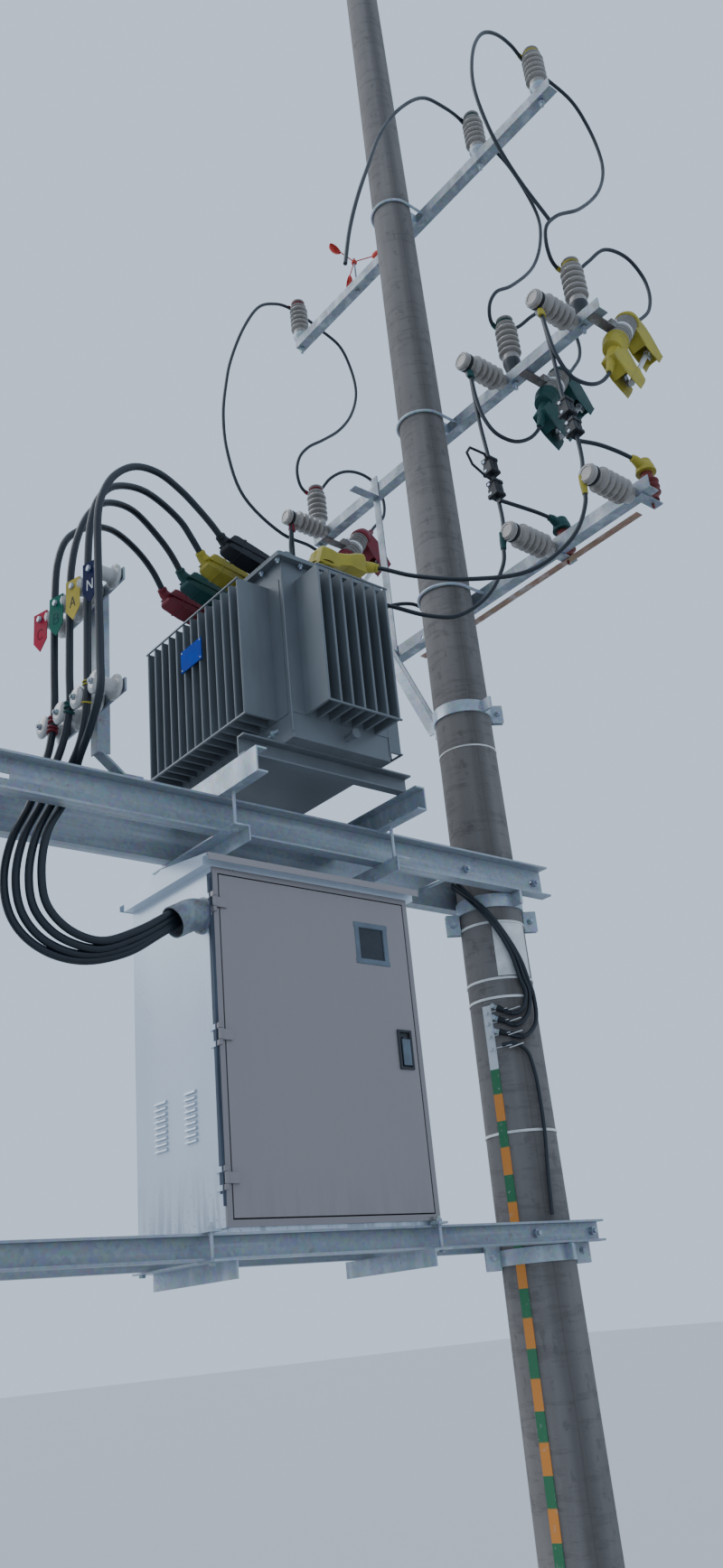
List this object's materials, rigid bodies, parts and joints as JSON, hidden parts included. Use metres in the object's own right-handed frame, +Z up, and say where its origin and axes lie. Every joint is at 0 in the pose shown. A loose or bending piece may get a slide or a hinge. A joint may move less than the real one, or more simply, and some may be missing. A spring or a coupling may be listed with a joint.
{
  "type": "pole mounted transformer",
  "caption": "Distribution transformer on channel beams between two round concrete poles, with a low voltage cabinet, crossarms, drop-out fuses, arresters and leads.",
  "frame": {"origin": "centre of the right pole's foot, at ground level", "axes": "+X from the left pole to the right pole, +Y away from the cabinet door to the back, +Z up along the poles"},
  "size_m": [3.5899, 2.3998, 10.1],
  "materials": {
    "concrete": "weathered spun concrete",
    "galvanised_steel": "hot-dip galvanised, dulled",
    "tank_paint": "satin grey paint",
    "porcelain": "glazed porcelain",
    "red_silicone": "soft, faded",
    "green_silicone": "soft, faded",
    "yellow_silicone": "soft, faded",
    "black_silicone": "soft",
    "blue_plate": "bare enamelled plate",
    "stainless_sheet": "stainless sheet, dulled",
    "window_glass": "dark pane",
    "dark_metal": "satin",
    "hood_metal": "worn",
    "tag_plastic": "plain plates in phase colours",
    "fuse_metal": "satin",
    "arrester_housing": "silicone housing",
    "cable_jacket": "weathered black insulation",
    "painted_strip": "galvanised strip with green and orange bands",
    "white_strap": "plain plastic strap",
    "white_plate": "bare white sheet",
    "red_plastic": "sun-bleached"
  },
  "bodies": {
    "structure": {"right_pole": "concrete", "left_pole": "concrete", "upper_beams": "galvanised_steel", "lower_beams": "galvanised_steel", "pole_clamps": "galvanised_steel", "cross_channels": "galvanised_steel", "clamp_angles": "galvanised_steel", "base_rails": "tank_paint", "tank": "tank_paint", "cooling_fins": "tank_paint", "tank_cover": "tank_paint", "lv_bushings": "porcelain", "hv_bushings": "porcelain", "red_covers": "red_silicone", "green_covers": "green_silicone", "yellow_covers": "yellow_silicone", "black_cover": "black_silicone", "name_plate": "blue_plate", "cabinet_shell": "stainless_sheet", "cabinet_roof": "stainless_sheet", "cable_hood": "hood_metal", "lv_post": "galvanised_steel", "lv_spools": "porcelain", "phase_tags": "tag_plastic", "top_crossarm": "galvanised_steel", "fuse_crossarm": "galvanised_steel", "arrester_crossarm": "galvanised_steel", "stay_post": "galvanised_steel", "pin_insulators": "porcelain", "side_insulators": "porcelain", "fuse_brackets": "galvanised_steel", "fuse_insulators": "porcelain", "arresters": "arrester_housing", "lv_cables": "cable_jacket", "upper_leads": "cable_jacket", "lower_leads": "cable_jacket", "earth_leads": "cable_jacket", "lead_clamps": "black_silicone", "earthing_bar": "galvanised_steel", "earth_strip": "painted_strip", "pole_straps": "white_strap", "pole_plate": "white_plate"},
    "door": {"cabinet_door": "stainless_sheet", "door_window": "window_glass", "door_latch": "dark_metal"},
    "yellow_fuse": {"fuse_tube_yellow": "fuse_metal"},
    "green_fuse": {"fuse_tube_green": "fuse_metal"},
    "red_fuse": {"fuse_tube_red": "fuse_metal"},
    "rotor": {"bird_rotor": "red_plastic"}
  },
  "joints": [
    {"name": "door_hinge", "type": "hinge", "parent": "structure", "child": "door", "pos_m": [-1.613, -0.207, 2.4], "axis": [0, 0, -1], "range_deg": [0, 110]},
    {"name": "yellow_fuse_hinge", "type": "hinge", "parent": "structure", "child": "yellow_fuse", "pos_m": [0.37059, -1.09, 5.58174], "axis": [0, 1, 0], "range_deg": [0, 120]},
    {"name": "green_fuse_hinge", "type": "hinge", "parent": "structure", "child": "green_fuse", "pos_m": [0.37059, -0.63, 5.58174], "axis": [0, 1, 0], "range_deg": [0, 120]},
    {"name": "red_fuse_hinge", "type": "hinge", "parent": "structure", "child": "red_fuse", "pos_m": [0.37059, 1.06, 5.58174], "axis": [0, 1, 0], "range_deg": [0, 120]},
    {"name": "rotor_spin", "type": "hinge", "parent": "structure", "child": "rotor", "pos_m": [0.16297, 0.536, 7.7], "axis": [0, 0, 1], "continuous": true}
  ]
}
